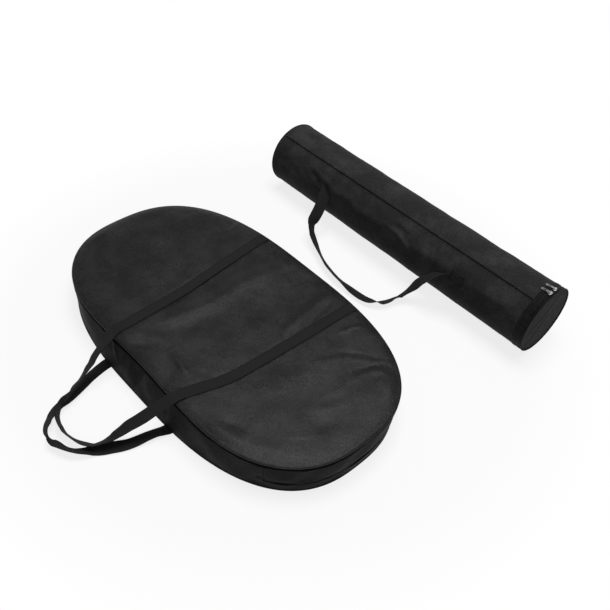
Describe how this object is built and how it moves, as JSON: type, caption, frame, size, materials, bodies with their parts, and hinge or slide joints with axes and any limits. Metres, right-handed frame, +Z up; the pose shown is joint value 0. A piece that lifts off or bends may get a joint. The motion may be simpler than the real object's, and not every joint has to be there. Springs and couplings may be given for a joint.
{
  "type": "roundnet carry bag set",
  "caption": "Two soft black carry bags for a roundnet game: a flat oval bag with zipped lid and webbing handles, and a tube bag with zipped end cap and carry strap.",
  "frame": {"origin": "middle of the flat bag's underside, on the floor", "axes": "+X along both bags towards the tube bag's zipped cap, +Y from the flat bag's handles towards the tube bag, +Z up"},
  "size_m": [0.9156, 1.1059, 0.1806],
  "materials": {
    "cloth": "matt coated Oxford cloth",
    "webbing": "ribbed webbing",
    "trim": "woven tape and nylon coil",
    "foam": "closed-cell foam",
    "board": "stiff plastic sheet",
    "metal": "polished cast zip metal"
  },
  "bodies": {
    "flat_bag": {"bottom_panel": "cloth", "base_foam": "foam", "bottom_binding": "trim", "side_gusset_front": "cloth", "side_gusset_lower": "cloth", "zip_tape_lower": "trim", "zip_end_tabs": "trim", "top_panel_front": "cloth", "top_binding_front": "trim", "upper_strap_front_bands": "webbing", "lower_strap_bands": "webbing"},
    "lid": {"top_panel_lid": "cloth", "lid_foam": "foam", "top_binding_lid": "trim", "side_gusset_upper": "cloth", "zip_tape_upper": "trim", "upper_strap_lid_bands": "webbing"},
    "upper_handle": {"upper_handle": "webbing"},
    "lower_handle": {"lower_handle": "webbing"},
    "panel_slider_left": {"panel_slider_left": "metal"},
    "panel_slider_right": {"panel_slider_right": "metal"},
    "panel_pull_left": {"panel_pull_left": "metal"},
    "panel_pull_right": {"panel_pull_right": "metal"},
    "tube_bag": {"tube_sleeve": "cloth", "lap_seam_tape": "cloth", "tube_foam_liner": "foam", "closed_end_disc": "cloth", "closed_end_welt": "trim", "closed_end_board": "board", "mouth_hem": "trim", "mouth_zip_tape": "trim", "cap_hinge_patch": "cloth", "tube_zip_end_tabs": "trim", "strap_end_left": "webbing", "strap_end_right": "webbing", "strap_backing_patches": "trim"},
    "cap": {"cap_disc": "cloth", "cap_welt": "trim", "cap_board": "board", "cap_zip_tape": "trim"},
    "tube_slider_a": {"tube_slider_a": "metal"},
    "tube_slider_b": {"tube_slider_b": "metal"},
    "tube_pull_a": {"tube_pull_a": "metal"},
    "tube_pull_b": {"tube_pull_b": "metal"},
    "carry_strap": {"carry_strap": "webbing"}
  },
  "joints": [
    {"name": "tube_slide", "type": "slide", "parent": "flat_bag", "child": "tube_bag", "axis": [0, 1, 0], "range_m": [0, 0.2]},
    {"name": "lid_fold", "type": "hinge", "parent": "flat_bag", "child": "lid", "pos_m": [0, -0.183, 0.0949], "axis": [1, 0, 0], "range_deg": [0, 110]},
    {"name": "upper_handle_swing", "type": "hinge", "parent": "flat_bag", "child": "upper_handle", "pos_m": [0, -0.22556, 0.09127], "axis": [1, 0, 0], "range_deg": [-125, 0]},
    {"name": "lower_handle_swing", "type": "hinge", "parent": "flat_bag", "child": "lower_handle", "pos_m": [0, -0.2461, 0.0015], "axis": [1, 0, 0], "range_deg": [-62.5, 0]},
    {"name": "left_slider_travel", "type": "slide", "parent": "flat_bag", "child": "panel_slider_left", "axis": [-1, 0, 0], "range_m": [0, 0.1]},
    {"name": "right_slider_travel", "type": "slide", "parent": "flat_bag", "child": "panel_slider_right", "axis": [1, 0, 0], "range_m": [0, 0.1]},
    {"name": "left_pull_swing", "type": "hinge", "parent": "panel_slider_left", "child": "panel_pull_left", "pos_m": [-0.008, 0.25277, 0.03], "axis": [1, 0, 0], "range_deg": [0, 150]},
    {"name": "right_pull_swing", "type": "hinge", "parent": "panel_slider_right", "child": "panel_pull_right", "pos_m": [0.008, 0.25277, 0.03], "axis": [1, 0, 0], "range_deg": [0, 150]},
    {"name": "cap_fold", "type": "hinge", "parent": "tube_bag", "child": "cap", "pos_m": [0.4701, 0.4768, 0.0875], "axis": [0, 0, -1], "range_deg": [0, 110]},
    {"name": "tube_slider_a_travel", "type": "hinge", "parent": "tube_bag", "child": "tube_slider_a", "pos_m": [0.4655, 0.5645, 0.0875], "axis": [1, 0, 0], "range_deg": [0, 38]},
    {"name": "tube_slider_b_travel", "type": "hinge", "parent": "tube_bag", "child": "tube_slider_b", "pos_m": [0.4655, 0.5645, 0.0875], "axis": [-1, 0, 0], "range_deg": [0, 140]},
    {"name": "tube_pull_a_swing", "type": "hinge", "parent": "tube_slider_a", "child": "tube_pull_a", "pos_m": [0.4655, 0.55335, 0.17832], "axis": [0, 0.9925, 0.1219], "range_deg": [0, 170]},
    {"name": "tube_pull_b_swing", "type": "hinge", "parent": "tube_slider_b", "child": "tube_pull_b", "pos_m": [0.4655, 0.57247, 0.17865], "axis": [0, 0.9962, -0.0872], "range_deg": [0, 170]},
    {"name": "carry_strap_swing", "type": "hinge", "parent": "tube_bag", "child": "carry_strap", "pos_m": [0, 0.48181, 0.1176], "axis": [1, 0, 0], "range_deg": [-130, 0]}
  ],
  "couplings": [
    {"joint": "lower_handle_swing", "follows": "upper_handle_swing", "ratio": 0.5}
  ]
}
